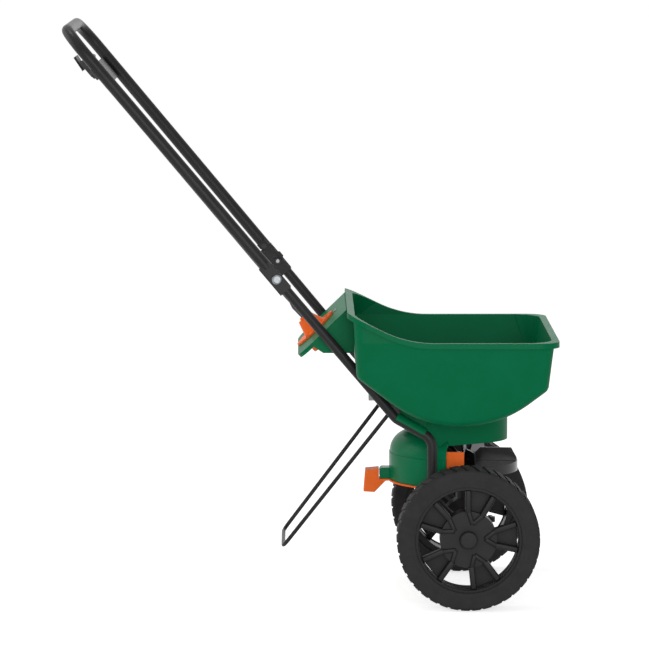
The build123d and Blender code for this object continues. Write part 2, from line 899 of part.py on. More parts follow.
# The channel's web lies under the tube, so the lower tube swings out of it when the handle folds forward.
def fold_channel(side):
    gap = lower_r + channel_gap
    section = Rectangle(2 * upper_r, channel_back + upper_r, align=(Align.CENTER, Align.MAX))
    section = Pos(0, channel_back) * section
    section -= Pos(0, channel_back - channel_web) * Rectangle(
        2 * gap, 2 * (channel_back + upper_r), align=(Align.CENTER, Align.MAX)
    )
    section = fillet(section.vertices().sort_by(Axis.Y)[-2:], 1.2)
    plane = Plane(
        origin=on_handle(-channel_reach, 0, side * fold_half), x_dir=(0, 1, 0), z_dir=tube_up
    )
    return extrude(plane * section, channel_reach + channel_top)


def fold_bolts():
    def make(side):
        head = side * (fold_half + upper_r)
        end = side * (fold_half - upper_r - nut_height - 1)
        bolt = cylinder_between((fold_x, end, fold_z), (fold_x, head, fold_z), bolt_r)
        dome = cylinder_between((fold_x, head, fold_z), (fold_x, head + side * bolt_head, fold_z), bolt_head_r)
        rim = dome.edges().filter_by(GeomType.CIRCLE).sort_by(lambda e: abs(e.center().Y))[-1]
        return bolt + fillet(rim, bolt_head * 0.8)

    return both_sides(make)


def fold_nuts():
    def make(side):
        face = side * (fold_half - upper_r)
        plane = Plane(origin=(fold_x, face, fold_z), z_dir=(0, -side, 0))
        return extrude(plane * (RegularPolygon(nut_r, 6) - Circle(bolt_r)), nut_height)

    return both_sides(make)


def handle_block(u, m, y):
    plane = Plane(origin=on_handle(u[0], m[0], y[0]), x_dir=tube_up, z_dir=(0, 1, 0))
    under = plane.to_local_coords(on_handle(u[0], m[1], y[0])).Y
    size = Rectangle(u[1] - u[0], abs(under), align=(Align.MIN, Align.MIN if under > 0 else Align.MAX))
    return extrude(plane * size, y[1] - y[0])


def handle_pin(u, m, y, r):
    return cylinder_between(on_handle(u, m, y[0]), on_handle(u, m, y[1]), r)


def handle_rod(side, r):
    low, high = console_low - 1, console_high + 1
    return cylinder_between(
        on_handle(low, 0, side * handle_half(low)), on_handle(high, 0, side * handle_half(high)), r
    )


def handle_console():
    length = (console_low, console_high)
    half = handle_half(console_low)
    deck = handle_block(length, (console_top, console_top + console_wall), (-half, half))
    deck -= handle_block(
        (console_high - 12, console_high + 1),
        (console_top - 1, console_top + console_wall + 1),
        (-console_pod_half + 12, console_pod_half - 12),
    )
    for side in (-1, 1):
        saddle = tuple(sorted((side * (half - 1.6 * upper_r), side * half)))
        deck += handle_block(length, (console_top, upper_r + console_clamp), saddle)
    inner, outer = console_pod_half - console_pod_wall, console_pod_half
    for side in (-1, 1):
        deck += handle_block(
            (console_pod_low, console_high),
            (console_top, console_pod_depth),
            tuple(sorted((side * inner, side * outer))),
        )
    deck += handle_block(
        (console_pod_low - console_pod_wall, console_pod_low), (console_top, console_pod_depth), (-outer, outer)
    )
    deck -= handle_pin(trigger_u, trigger_m, (-outer - 1, outer + 1), trigger_pin_r)
    deck -= handle_block((console_pod_low - 20, console_pod_low + 2), (cable_m - 8, cable_m + 8), (-5, 5))
    for side in (-1, 1):
        deck -= handle_rod(side, upper_r)
    for u, y in console_screw_places():
        deck -= cylinder_between(on_handle(u, 0, y), on_handle(u, 2 * upper_r, y), screw_r)
    return deck


def console_screw_places():
    u = (console_low + console_high) / 2
    return [(u, side * (handle_half(u) - 3)) for side in (-1, 1)]


def console_screws():
    screws = []
    for u, y in console_screw_places():
        face = upper_r + console_clamp
        shank = cylinder_between(on_handle(u, upper_r - 4, y), on_handle(u, face, y), screw_r)
        screws.append(shank + cylinder_between(on_handle(u, face, y), on_handle(u, face + screw_head, y), screw_head_r))
    return Compound(children=screws)


def trigger_pin():
    half = console_pod_half
    return handle_pin(trigger_u, trigger_m, (-half, half), trigger_pin_r)


def trigger():
    half = trigger_half
    lever = handle_pin(trigger_u, trigger_m, (-half, half), trigger_r)
    for side in (-1, 1):
        far, near = side * half, side * (half - trigger_wall)
        lever += handle_block(
            (trigger_u - trigger_arm / 2, trigger_u + trigger_arm / 2),
            (trigger_m, cable_pin_m + cable_pin_r + 1.5),
            tuple(sorted((near, far))),
        )
    lever += handle_pin(trigger_u - 2, cable_pin_m, (-half, half), cable_pin_r)
    plate = Polyline(
        (trigger_u - trigger_arm, trigger_tip_m),
        (trigger_tip_u, trigger_tip_m - 3),
        (trigger_tip_u + 1, trigger_tip_m - 3 + trigger_wall),
        (trigger_u - trigger_arm, trigger_tip_m + trigger_wall),
        close=True,
    )
    plane = Plane(origin=(fold_x, -half, fold_z), x_dir=tube_up, z_dir=(0, 1, 0))
    flip = 1 if plane.to_local_coords(on_handle(0, 1, -half)).Y > 0 else -1
    face = make_face(Polyline(*[(p.X, flip * p.Y) for p in plate.vertices()], close=True))
    lever += extrude(plane * face, 2 * half)
    for side in (-1, 1):
        far, near = side * half, side * (half - trigger_wall)
        lever += handle_block(
            (trigger_u - trigger_arm / 2, trigger_u + trigger_arm / 2),
            (cable_pin_m, trigger_tip_m + 1),
            tuple(sorted((near, far))),
        )
    return lever - handle_pin(trigger_u, trigger_m, (-half - 1, half + 1), trigger_pin_r + running_gap)


def trigger_cable():
    top = trigger_u - 2 - cable_pin_r - seat_gap
    wire = handle_wire(cable_break_u + seat_gap, top)
    eye = cylinder_between(on_handle(top - 10, cable_m, 0), on_handle(top, cable_m, 0), 1.4 * cable_r)
    return wire + eye


def handle_wire(low, high):
    return cylinder_between(on_handle(low, cable_m, 0), on_handle(high, cable_m, 0), cable_r)


latch_face = fold_half - upper_r


def fold_latch():
    face = latch_face - seat_gap
    plane = Plane(origin=(fold_x, face, fold_z), x_dir=tube_up, z_dir=(0, -1, 0))
    under = 1 if plane.to_local_coords(on_handle(0, 1, face)).Y > 0 else -1
    outline = Polyline(
        (latch_u, under * (latch_m + latch_boss_r)),
        (latch_tip_u + 10, under * -latch_blade),
        (latch_tip_u - 6, under * -latch_blade),
        (latch_tip_u - 2, under * -latch_tab),
        (latch_tip_u + 7, under * -latch_tab),
        (latch_tip_u + 10, under * -upper_r),
        (latch_u + latch_boss_r, under * (latch_m - latch_boss_r)),
        (latch_u + latch_boss_r, under * (latch_m + latch_boss_r)),
        close=True,
    )
    lever = extrude(plane * make_face(outline), latch_wall)
    return lever - handle_pin(latch_u, latch_m, (face - 40, face + 40), latch_pin_r + running_gap)


def latch_pin():
    head = latch_face - latch_wall - 2 * seat_gap
    pin = handle_pin(latch_u, latch_m, (head, handle_half(latch_u) - upper_r + 4), latch_pin_r)
    return pin + handle_pin(latch_u, latch_m, (head - 2, head), 2 * latch_pin_r)


panel_plane = Plane(origin=(panel_x, 0, panel_z), x_dir=panel_up, z_dir=panel_out)
panel_screw_z = panel_z - 4.0


def panel_screw_places():
    return [(panel_high - 30, side * (panel_half - 30)) for side in (-1, 1)]


def control_panel():
    length = panel_high - panel_low
    plate = Pos((panel_high + panel_low) / 2, 0) * Rectangle(length, 2 * panel_half)
    plate = fillet(plate.vertices().sort_by(Axis.X)[:2], panel_corner)
    panel = panel_plane * Pos(0, 0, -panel_wall) * extrude(plate, panel_wall)
    foot = on_panel(panel_high, 0, 0)
    start = on_panel(panel_low + panel_corner, -panel_wall / 2, 0)
    side_outline = [
        (start.X, start.Z),
        (foot.X, foot.Z - 2),
        (foot.X + 40, foot.Z - 2),
        (foot.X + 40, start.Z - 12),
        (start.X + 18, start.Z - 12),
    ]
    for side in (-1, 1):
        outer, inner = side * panel_half, side * (panel_half - gusset_wall)
        wall = across(side_outline, panel_half)
        wall &= block((-far, min(inner, outer), 0), (far, max(inner, outer), far))
        panel += wall
    flange = across(
        [
            (foot.X, foot.Z - 2),
            (foot.X + 40, foot.Z - 2),
            (foot.X + 40, panel_screw_z - flange_drop),
            (body_rear_foot - 4, panel_screw_z - flange_drop),
            (body_rear_foot - flange_foot, panel_screw_z - flange_drop),
            (body_rear_foot - flange_foot, foot.Z - 8),
        ],
        panel_half,
    )
    panel += flange
    panel -= tub(0)
    panel -= hopper_lip()
    panel -= above_rim(0)
    panel -= block((body_rear + 3, -far, 0), (far, far, far))
    hole = panel_plane * extrude(Circle(dial_barrel_r + seat_gap), 3 * panel_wall, both=True)
    panel -= hole
    for along, y in panel_screw_places():
        panel -= cylinder_between((-400, y, panel_screw_z), (0, y, panel_screw_z), screw_r)
    return panel


def panel_screws():
    screws = []
    for along, y in panel_screw_places():
        face = body_rear_foot - flange_foot
        shank = cylinder_between((face, y, panel_screw_z), (face + screw_length, y, panel_screw_z), screw_r)
        head = cylinder_between((face - screw_head, y, panel_screw_z), (face, y, panel_screw_z), screw_head_r)
        screws.append(shank + head)
    return Compound(children=screws)


def rate_dial():
    disc = Pos(0, 0, seat_gap) * extrude(Circle(dial_r), dial_wall)
    for k in range(dial_notches):
        place = Rot(0, 0, k * 360 / dial_notches) * Pos(dial_r + dial_notch_r / 2, 0, 0)
        disc -= place * Cylinder(dial_notch_r, 20)
    top = seat_gap + dial_wall
    hub = loft([Pos(0, 0, top) * Circle(dial_hub_r), Pos(0, 0, dial_hub_height) * Circle(dial_hub_top_r)])
    barrel = Pos(0, 0, -dial_barrel_drop) * extrude(Circle(dial_barrel_r), dial_barrel_drop + top)
    dial = disc + hub + barrel
    dial -= Cylinder(plunger_r + seat_gap, 4 * dial_hub_height)
    return panel_plane * dial


def plunger():
    high = dial_hub_height + seat_gap
    body = Pos(0, 0, plunger_low) * extrude(Circle(plunger_r), high - plunger_low)
    body += Pos(0, 0, high) * extrude(Circle(plunger_cap_r), plunger_cap)
    body = panel_plane * body
    return body - cylinder_between(on_panel(0, plunger_low + 10, 0), (rod_bend_x, 0, rod_bend_z), rod_r)


ferrule_low = dial_hub_height + seat_gap + plunger_cap


def cable_ferrule():
    body = extrude(Circle(ferrule_r), ferrule_length - ferrule_eye)
    nose = Pos(0, 0, ferrule_length - ferrule_eye)
    body += loft([nose * Circle(ferrule_r), Pos(0, 0, ferrule_length) * Circle(1.6 * cable_r)])
    body -= Pos(0, 0, ferrule_length / 2) * Cylinder(
        cable_r, ferrule_length, align=(Align.CENTER, Align.CENTER, Align.MIN)
    )
    return panel_plane * Pos(0, 0, ferrule_low) * body


def cable_tail():
    start = on_panel(0, ferrule_low + ferrule_length / 2, 0)
    bend = on_panel(0, ferrule_low + ferrule_length + 4, 0)
    end = on_handle(cable_break_u, cable_m, 0)
    return bent_tube([start, bend, end], [60.0], cable_r)


def control_rod():
    start = on_panel(0, plunger_low + 10, 0)
    points = [
        start,
        (rod_bend_x, 0, rod_bend_z),
        (rod_end_x + rod_overrun, 0, rod_line_z(rod_end_x + rod_overrun)),
    ]
    return bent_tube(points, [rod_bend_r], rod_r)


def rod_guide():
    floor = belly_line_z(rod_bend_x)
    start = on_panel(0, plunger_low, 0)
    guide = block(
        (rod_bend_x - 14 - guide_length / 2, -guide_half, guide_low),
        (rod_bend_x - 14 + guide_length / 2, guide_half, floor + 40),
    )
    guide -= tub(0)
    guide -= block((-far, -far, floor + 16), (far, far, far))
    end = Vector(rod_bend_x, 0, rod_bend_z)
    run = end - start
    return guide - cylinder_between(start - run, end + run * 0.2, rod_r + guide_gap)


def belly_line_z(x):
    slope = radians(belly_slope)
    tangent_x = belly_centre - belly_r * sin(slope)
    tangent_z = belly_low + belly_r * (1 - cos(slope))
    return tangent_z + (tangent_x - x) * tan(slope)


def shutoff_plate():
    high = floor_top - floor_wall - seat_gap
    low = high - shutoff_wall
    plate = block((rod_end_x - 2, -shutoff_half, low), (shutoff_front, shutoff_half, high))
    plate -= block((rod_end_x - 5, shutoff_tab_half, low - 1), (-40, shutoff_half + 1, high + 1))
    plate -= block((rod_end_x - 5, -shutoff_half - 1, low - 1), (-40, -shutoff_tab_half, high + 1))
    plate += block(
        (rod_end_x - 2, -shutoff_tab_half, low), (rod_end_x - 2 + shutoff_wall, shutoff_tab_half, shutoff_tab_top)
    )
    slot_low = rod_line_z(rod_end_x) - rod_r - 2
    slot_high = slot_low + 2 * rod_r + plunger_travel + 4
    plate -= block(
        (rod_end_x - 9, -rod_r - guide_gap, slot_low), (rod_end_x + 9, rod_r + guide_gap, slot_high)
    )
    slot_run = plunger_travel
    plate -= Pos(0, 0, low) * extrude(
        SlotCenterToCenter(2 * slot_run, 2 * (shaft_r + 3)), shutoff_wall
    )
    shift = plunger_travel * sin(radians(panel_tilt))
    for side in (-1, 1):
        plate -= Pos(port_x + shift, side * port_y, low) * Box(port_width, port_length, 8 * shutoff_wall)
    return plate


def floor_bush():
    bush = ring(floor_bush_r, shaft_r + running_gap, floor_top - floor_wall, floor_top)
    return bush + ring(floor_bush_r + 3, shaft_r + running_gap, floor_top, floor_top + 3)


def shroud_section(inset):
    r, top, dome = shroud_r - inset, shroud_top - inset, shroud_dome - inset
    return FilletPolyline((shroud_neck_r, top), (r, top), (r, shroud_low), radius=dome)


def rear_shroud():
    outer, inner = shroud_section(0), shroud_section(shroud_wall)
    profile = make_face([outer, inner, Line(outer @ 0, inner @ 0), Line(outer @ 1, inner @ 1)])
    sweep_angle = 360 - 2 * shroud_from
    bell = revolve(Plane.XZ * profile, Axis.Z, revolution_arc=sweep_angle)
    bell = Rot(0, 0, shroud_from) * bell
    lug = block(
        (-shroud_lug_r, -shroud_lug_half, shroud_low), (-shroud_r + 1.5, shroud_lug_half, shroud_lug_top)
    )
    bell += fillet(lug.edges().filter_by(Axis.Y).sort_by(Axis.X)[:2], 5)
    bell -= block((rod_end_x - 14, -shutoff_tab_half - 2, shroud_top - 20), (0, shutoff_tab_half + 2, 400))
    neck_space = Pos(0, 0, neck_low - seat_gap) * extrude(neck_plan(-seat_gap), 100)
    bell -= neck_space & block((neck_step_x - seat_gap, -200, 0), (200, 200, 400))
    for x, y in shroud_screw_places():
        bell -= Pos(x, y, shroud_top) * Cylinder(screw_r, 30)
    return bell


def shroud_screw_places():
    return [(leg_x - 4, side * 52.0) for side in (-1, 1)]


def shroud_screws():
    screws = []
    for x, y in shroud_screw_places():
        low = shroud_top - shroud_wall
        shank = cylinder_between((x, y, low), (x, y, neck_step), screw_r)
        screws.append(shank + cylinder_between((x, y, low - screw_head), (x, y, low), screw_head_r))
    return Compound(children=screws)


def arc_wall(r, wall, low, high, start, end):
    section = Rectangle(wall, high - low, align=(Align.MAX, Align.MIN))
    return Rot(0, 0, start) * revolve(
        Plane.XZ * Pos(r, low) * section, Axis.Z, revolution_arc=end - start
    )


def side_guard():
    foot_top = shroud_low - seat_gap
    band = arc_wall(guard_r, guard_wall, guard_low, guard_top, guard_from, guard_to)
    band += arc_wall(guard_r, guard_wall, foot_top - guard_foot, guard_low + 1, guard_from, guard_from + guard_foot_sweep)
    band += arc_wall(
        guard_foot_r, guard_foot_r - guard_r + guard_wall, foot_top - guard_foot, foot_top, guard_foot_from, guard_from + guard_foot_sweep
    )
    arm = block(
        (-pedal_reach + 14, -pedal_half, foot_top - guard_foot), (-guard_r + 1, pedal_half, foot_top)
    )
    outline = [
        (-shroud_lug_r - 1, pedal_top),
        (-pedal_reach + 3, pedal_top - 2),
        (-pedal_reach, pedal_low + 1),
        (-pedal_reach + pedal_foot, pedal_low),
        (-shroud_lug_r + 10, foot_top - guard_foot),
        (-shroud_lug_r + 10, foot_top),
        (-shroud_lug_r - 1, foot_top),
    ]
    return band + arm + across(outline, pedal_half)


nodes = {
    "hopper": hopper,
    "control_panel": control_panel,
    "panel_screws": panel_screws,
    "rate_dial": rate_dial,
    "plunger": plunger,
    "cable_ferrule": cable_ferrule,
    "cable_tail": cable_tail,
    "control_rod": control_rod,
    "rod_guide": rod_guide,
    "shutoff_plate": shutoff_plate,
    "floor_bush": floor_bush,
    "lower_tube_right": lambda: lower_tube(-1),
    "lower_tube_left": lambda: mirror(lower_tube(-1), Plane.XZ),
    "frame_screws": frame_screws,
    "kickstand": kickstand,
    "upper_handle": upper_handle,
    "fold_bolts": fold_bolts,
    "fold_nuts": fold_nuts,
    "handle_console": handle_console,
    "console_screws": console_screws,
    "trigger": trigger,
    "trigger_pin": trigger_pin,
    "trigger_cable": trigger_cable,
    "fold_latch": fold_latch,
    "latch_pin": latch_pin,
    "rear_shroud": rear_shroud,
    "shroud_screws": shroud_screws,
    "side_guard": side_guard,
    "impeller": impeller,
    "impeller_shaft": impeller_shaft,
    "impeller_pin": impeller_pin,
    "agitator": agitator,
    "pinion": pinion,
    "drive_gear": drive_gear,
    "gearbox_upper": gearbox_upper,
    "gearbox_lower": gearbox_lower,
    "gearbox_screws": gearbox_screws,
    "axle": axle,
    "drive_pin": drive_pin,
    "axle_bushes": axle_bushes,
    "wheel_spacers": wheel_spacers,
    "wheel_rim_right": lambda: wheel_rim(-1),
    "wheel_rim_left": lambda: wheel_rim(1),
    "tyre_right": lambda: tyre(-1),
    "tyre_left": lambda: tyre(1),
    "hub_cap_right": lambda: hub_cap(-1),
    "hub_cap_left": lambda: hub_cap(1),
}


def main():
    os.makedirs("parts", exist_ok=True)
    for name, make in nodes.items():
        piece = Pos(-mid_x, 0, 0) * make()
        export_step(piece, f"parts/{name}.step")


if __name__ == "__main__":
    main()
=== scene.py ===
import json
import math

import bpy
from mathutils import Matrix, Vector


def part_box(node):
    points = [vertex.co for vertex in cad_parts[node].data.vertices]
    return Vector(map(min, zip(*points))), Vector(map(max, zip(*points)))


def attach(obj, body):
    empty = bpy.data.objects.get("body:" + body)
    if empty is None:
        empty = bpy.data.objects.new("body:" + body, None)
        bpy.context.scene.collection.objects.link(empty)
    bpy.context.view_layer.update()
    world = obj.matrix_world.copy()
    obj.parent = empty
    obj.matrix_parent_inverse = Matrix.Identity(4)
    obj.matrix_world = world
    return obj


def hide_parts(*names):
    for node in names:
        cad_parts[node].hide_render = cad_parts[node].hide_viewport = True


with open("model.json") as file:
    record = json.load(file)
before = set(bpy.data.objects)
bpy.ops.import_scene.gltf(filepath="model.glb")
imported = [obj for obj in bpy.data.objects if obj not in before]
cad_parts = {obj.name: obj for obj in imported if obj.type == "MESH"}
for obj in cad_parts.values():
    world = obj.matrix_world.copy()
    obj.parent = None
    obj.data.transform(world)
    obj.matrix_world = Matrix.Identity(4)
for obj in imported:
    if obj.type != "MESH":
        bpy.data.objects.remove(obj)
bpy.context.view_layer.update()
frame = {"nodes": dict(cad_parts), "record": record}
bpy.ops.object.select_all(action="DESELECT")
bpy.context.scene.view_settings.view_transform = "Standard"
joints = {joint["name"]: joint for joint in frame["record"]["behaviour"]["joints"]}
axle = Vector(joints["axle_turn"]["pos_m"])
print("frame loaded:", len(frame["nodes"]), "nodes")


# Colours are written as on a paint card, in sRGB, and turned to the renderer's linear values here.
def paint(hexCode):
    parts = [int(hexCode[i:i + 2], 16) / 255 for i in (1, 3, 5)]
    return tuple(c / 12.92 if c <= 0.04045 else ((c + 0.055) / 1.055) ** 2.4 for c in parts) + (1.0,)


# A link goes to the input that it is named for, or to the input of that number if it is called _0, _1 or _2.
def addNode(tree, kind, settings=None, **links):
    node = tree.nodes.new(kind)
    for name, value in (settings or {}).items():
        if name in node.inputs:
            node.inputs[name].default_value = value
        else:
            setattr(node, name, value)
    for name, source in links.items():
        target = node.inputs[int(name[1:])] if name[1:].isdigit() else node.inputs[name.replace("_", " ")]
        tree.links.new(source, target)
    return node


def blankMaterial(name):
    material = bpy.data.materials.new(name)
    material.use_nodes = True
    material.node_tree.nodes.clear()
    return material, material.node_tree


def perMetre(millimetres):
    return 1000.0 / millimetres


def metres(millimetres):
    return millimetres / 1000.0


# What all finishes share. The bump's height is a share of its grain.
surface = {
    "driftDetail": 3.0, "driftRough": 0.55, "darkTo": 0.3, "lightFrom": 0.7, "paintedShadeSamples": 8,
    "grainDetail": 2.0, "bumpShare": 0.25, "edgeSamples": 6,
}
shaderInputs = {"metallic": "Metallic", "specular": "Specular IOR Level", "ior": "IOR"}


# Every finish is a base colour that drifts a little, a roughness that drifts with it, and a fine bump.
# Edges catch light over a small radius, and a finish that asks for it gets painted shade: its base colour is
# darkened in corners and recesses, by how closed in they are.
def finish(name, look):
    material, tree = blankMaterial(name)
    place = addNode(tree, "ShaderNodeTexCoord").outputs["Object"]
    clouds = {
        "Scale": perMetre(look["driftMm"]), "Detail": surface["driftDetail"],
        "Roughness": surface["driftRough"],
    }
    drift = addNode(tree, "ShaderNodeTexNoise", clouds, Vector=place)
    tint = addNode(tree, "ShaderNodeValToRGB", Fac=drift.outputs[0])
    dark, light = tint.color_ramp.elements
    dark.position = surface["darkTo"]
    dark.color = paint(look["dark"])
    light.position = surface["lightFrom"]
    light.color = paint(look["light"])
    colour = tint
    # Painted shade: the base colour is darkened in corners and recesses, the more the nearer the surfaces
    # around them.
    if "paintedShadeMm" in look:
        paintedShade = {"samples": surface["paintedShadeSamples"], "Distance": metres(look["paintedShadeMm"])}
        colour = addNode(tree, "ShaderNodeAmbientOcclusion", paintedShade, Color=tint.outputs[0])
    gloss = addNode(
        tree, "ShaderNodeMapRange", {"To Min": look["roughLow"], "To Max": look["roughHigh"]},
        Value=drift.outputs[0],
    )
    grain = addNode(
        tree, "ShaderNodeTexNoise", {"Scale": perMetre(look["grainMm"]), "Detail": surface["grainDetail"]},
        Vector=place,
    )
    edge = addNode(
        tree, "ShaderNodeBevel", {"samples": surface["edgeSamples"], "Radius": metres(look["edgeMm"])},
    )
    bump = addNode(
        tree, "ShaderNodeBump",
        {"Strength": look["bump"], "Distance": metres(look["grainMm"]) * surface["bumpShare"]},
        Height=grain.outputs[0], Normal=edge.outputs[0],
    )
    shader = addNode(
        tree, "ShaderNodeBsdfPrincipled",
        {socket: look[key] for key, socket in shaderInputs.items() if key in look},
        Base_Color=colour.outputs[0], Roughness=gloss.outputs[0], Normal=bump.outputs[0],
    )
    addNode(tree, "ShaderNodeOutputMaterial", Surface=shader.outputs[0])
    return material


# The grains are drawn coarser than real, so that they show.
finishes = {
    # Polypropylene moulded in a spark-eroded tool: even satin green.
    "green_plastic": ("greenPolypropyleneMoulded", {
        "dark": "#02663f", "light": "#046b44", "driftMm": 60, "roughLow": 0.36, "roughHigh": 0.46,
        "grainMm": 1.6, "edgeMm": 1.2, "bump": 0.10, "ior": 1.49, "specular": 0.06,
    }),
    # Polypropylene moulded in orange: brighter gloss on the small parts a hand works.
    "orange_plastic": ("orangePolypropyleneMoulded", {
        "dark": "#f66e2c", "light": "#fd7634", "driftMm": 30, "roughLow": 0.34, "roughHigh": 0.44,
        "grainMm": 1.2, "edgeMm": 0.8, "bump": 0.10, "ior": 1.49, "specular": 0.05,
    }),
    # Nylon moulded black: satin, with painted shade darkening it in its recesses.
    "black_plastic": ("blackNylonMoulded", {
        "dark": "#1f1d1e", "light": "#272526", "driftMm": 25, "roughLow": 0.34, "roughHigh": 0.46,
        "grainMm": 1.2, "edgeMm": 0.9, "bump": 0.12, "ior": 1.53, "specular": 0.14, "paintedShadeMm": 16,
    }),
    # Polyethylene moulded light grey, soft and waxy.
    "grey_plastic": ("greyPolyethyleneMoulded", {
        "dark": "#b4b4b2", "light": "#bdbdbb", "driftMm": 15, "roughLow": 0.42, "roughHigh": 0.5,
        "grainMm": 1.0, "edgeMm": 0.6, "bump": 0.08, "ior": 1.51,
    }),
    # Steel tube with black powder coat: soft gloss broken by a fine orange peel.
    "black_paint": ("steelPowderCoatBlack", {
        "dark": "#222223", "light": "#2a2a2b", "driftMm": 40, "roughLow": 0.30, "roughHigh": 0.40,
        "grainMm": 1.8, "edgeMm": 0.5, "bump": 0.14, "ior": 1.5, "specular": 0.14,
    }),
    # Steel wire in a drawn black sheath: dull, with a soft line of light along it.
    "black_cable": ("cableSheathDrawnBlack", {
        "dark": "#18181a", "light": "#1f1f21", "driftMm": 8, "roughLow": 0.45, "roughHigh": 0.55,
        "grainMm": 0.8, "edgeMm": 0.2, "bump": 0.08, "ior": 1.5,
    }),
    # Steel with bright zinc plate: metal, with faint blue-white clouds.
    "zinc_steel": ("steelZincPlated", {
        "dark": "#76797c", "light": "#8a8d90", "driftMm": 6, "roughLow": 0.32, "roughHigh": 0.44,
        "grainMm": 0.7, "edgeMm": 0.4, "bump": 0.06, "metallic": 1.0,
    }),
    # Acetal gears left their natural white: slick and slightly cloudy.
    "gear_plastic": ("acetalNaturalMoulded", {
        "dark": "#d9d6cb", "light": "#e2dfd5", "driftMm": 12, "roughLow": 0.28, "roughHigh": 0.36,
        "grainMm": 0.8, "edgeMm": 0.3, "bump": 0.05, "ior": 1.48,
    }),
    # Moulded tyre, a hard rubber-like skin: dull black with a dusty bloom, and painted shade darkening it in
    # its grooves and recesses.
    "tyre_black": ("rubberMouldedTyre", {
        "dark": "#262526", "light": "#302f30", "driftMm": 18, "roughLow": 0.62, "roughHigh": 0.78,
        "grainMm": 1.4, "edgeMm": 0.9, "bump": 0.22, "ior": 1.52, "specular": 0.16, "paintedShadeMm": 8,
    }),
}
# Steel blackened in a hot oxide bath: nearly black, with a dull sheen.
blackOxide = ("steelBlackOxide", {
    "dark": "#1e1e20", "light": "#28282a", "driftMm": 6, "roughLow": 0.36, "roughHigh": 0.48,
    "grainMm": 0.8, "edgeMm": 0.4, "bump": 0.06, "metallic": 0.7,
})
# Nodes that the photograph shows apart from the rest of their slot.
ownFinishes = {
    # Nylon moulded with a polished top: the console catches the sky along the bridge.
    "handle_console": ("blackNylonPolished", {
        "dark": "#232223", "light": "#2a292a", "driftMm": 25, "roughLow": 0.40, "roughHigh": 0.52,
        "grainMm": 1.2, "edgeMm": 0.9, "bump": 0.12, "ior": 1.53, "specular": 0.35,
    }),
    # Steel with a black chrome: a dark mirror with a bright streak along it.
    "cable_ferrule": ("steelBlackChrome", {
        "dark": "#3c3d40", "light": "#4a4b4e", "driftMm": 5, "roughLow": 0.18, "roughHigh": 0.28,
        "grainMm": 0.6, "edgeMm": 0.4, "bump": 0.04, "metallic": 1.0,
    }),
    # The same green moulding from a polished tool: upright streaks of light round the bell, on a base colour
    # painted a little lighter than the rest of the green for the light that falls on the shroud.
    "rear_shroud": ("greenPolypropylenePolishedPaintedLight", {
        "dark": "#046d45", "light": "#07734a", "driftMm": 60, "roughLow": 0.24, "roughHigh": 0.32,
        "grainMm": 1.6, "edgeMm": 1.2, "bump": 0.05, "ior": 1.49, "specular": 0.07,
    }),
    # Nylon moulded in a polished tool: the impeller's fins glint along their tops.
    "impeller": ("blackNylonGloss", {
        "dark": "#1c1b1c", "light": "#232223", "driftMm": 25, "roughLow": 0.16, "roughHigh": 0.24,
        "grainMm": 1.2, "edgeMm": 1.2, "bump": 0.05, "ior": 1.53, "specular": 0.3,
    }),
    "fold_nuts": blackOxide,
    "latch_pin": blackOxide,
}
made = {slot: finish(*spec) for slot, spec in finishes.items()}
own = {node: finish(*spec) for node, spec in ownFinishes.items()}
slotOf = {part["node"]: part["material_slot"] for part in frame["record"]["subparts"]}
for name, node in frame["nodes"].items():
    node.data.materials.clear()
    node.data.materials.append(own.get(name, made[slotOf[name]]))
print("finishes:", len(made), "for slots,", len(own), "for single nodes")


# What the pieces share: steps in a rounded edge, the angle up to which faces blend, and the reach of a merge.
meshWork = {"barSteps": 4, "wallSteps": 3, "smoothAngle": math.radians(40), "merge": 0.000002}
wallOffsets = {"outwards": 1.0, "both ways": 0.0, "inwards": -1.0}


def onlySelect(*objects):
    bpy.ops.object.select_all(action="DESELECT")
    for obj in objects:
        obj.select_set(True)
    bpy.context.view_layer.objects.active = objects[0]


# Adds a primitive with nothing else selected.
def startFrom(primitive, **settings):
    bpy.ops.object.select_all(action="DESELECT")
    primitive(**settings)
    return bpy.context.object


def settle(obj):
    onlySelect(obj)
    bpy.ops.object.transform_apply(location=True, rotation=True, scale=True)


def joinAll(parts):
    onlySelect(*parts)
    bpy.ops.object.join()
    return bpy.context.object


def copyAt(source, place):
    twin = source.copy()
    twin.data = source.data.copy()
    twin.data.transform(place)
    bpy.context.collection.objects.link(twin)
    return twin


def remove(obj):
    onlySelect(obj)
    bpy.ops.object.delete()


def openMesh(obj):
    onlySelect(obj)
    bpy.ops.object.mode_set(mode="EDIT")
    bpy.ops.mesh.select_all(action="SELECT")


def closeMesh():
    bpy.ops.object.mode_set(mode="OBJECT")


def faceOutwards(obj):
    openMesh(obj)
    bpy.ops.mesh.normals_make_consistent(inside=False)
    closeMesh()


def smooth(obj, angle=meshWork["smoothAngle"]):
    onlySelect(obj)
    bpy.ops.object.shade_smooth_by_angle(angle=angle)


def applyModifier(obj, kind, **settings):
    modifier = obj.modifiers.new(kind.lower(), kind)
    for name, value in settings.items():
        setattr(modifier, name, value)
    onlySelect(obj)
    bpy.ops.object.modifier_apply(modifier=modifier.name)


def cutAway(obj, cutter):
    applyModifier(obj, "BOOLEAN", operation="DIFFERENCE", object=cutter)
    remove(cutter)


# Gives a sheet its wall and rounds the wall's edges.
def thicken(sheet, wall, way, rounding):
    applyModifier(sheet, "SOLIDIFY", thickness=wall, offset=wallOffsets[way])
    applyModifier(sheet, "BEVEL", width=rounding, segments=meshWork["wallSteps"], limit_method="ANGLE")


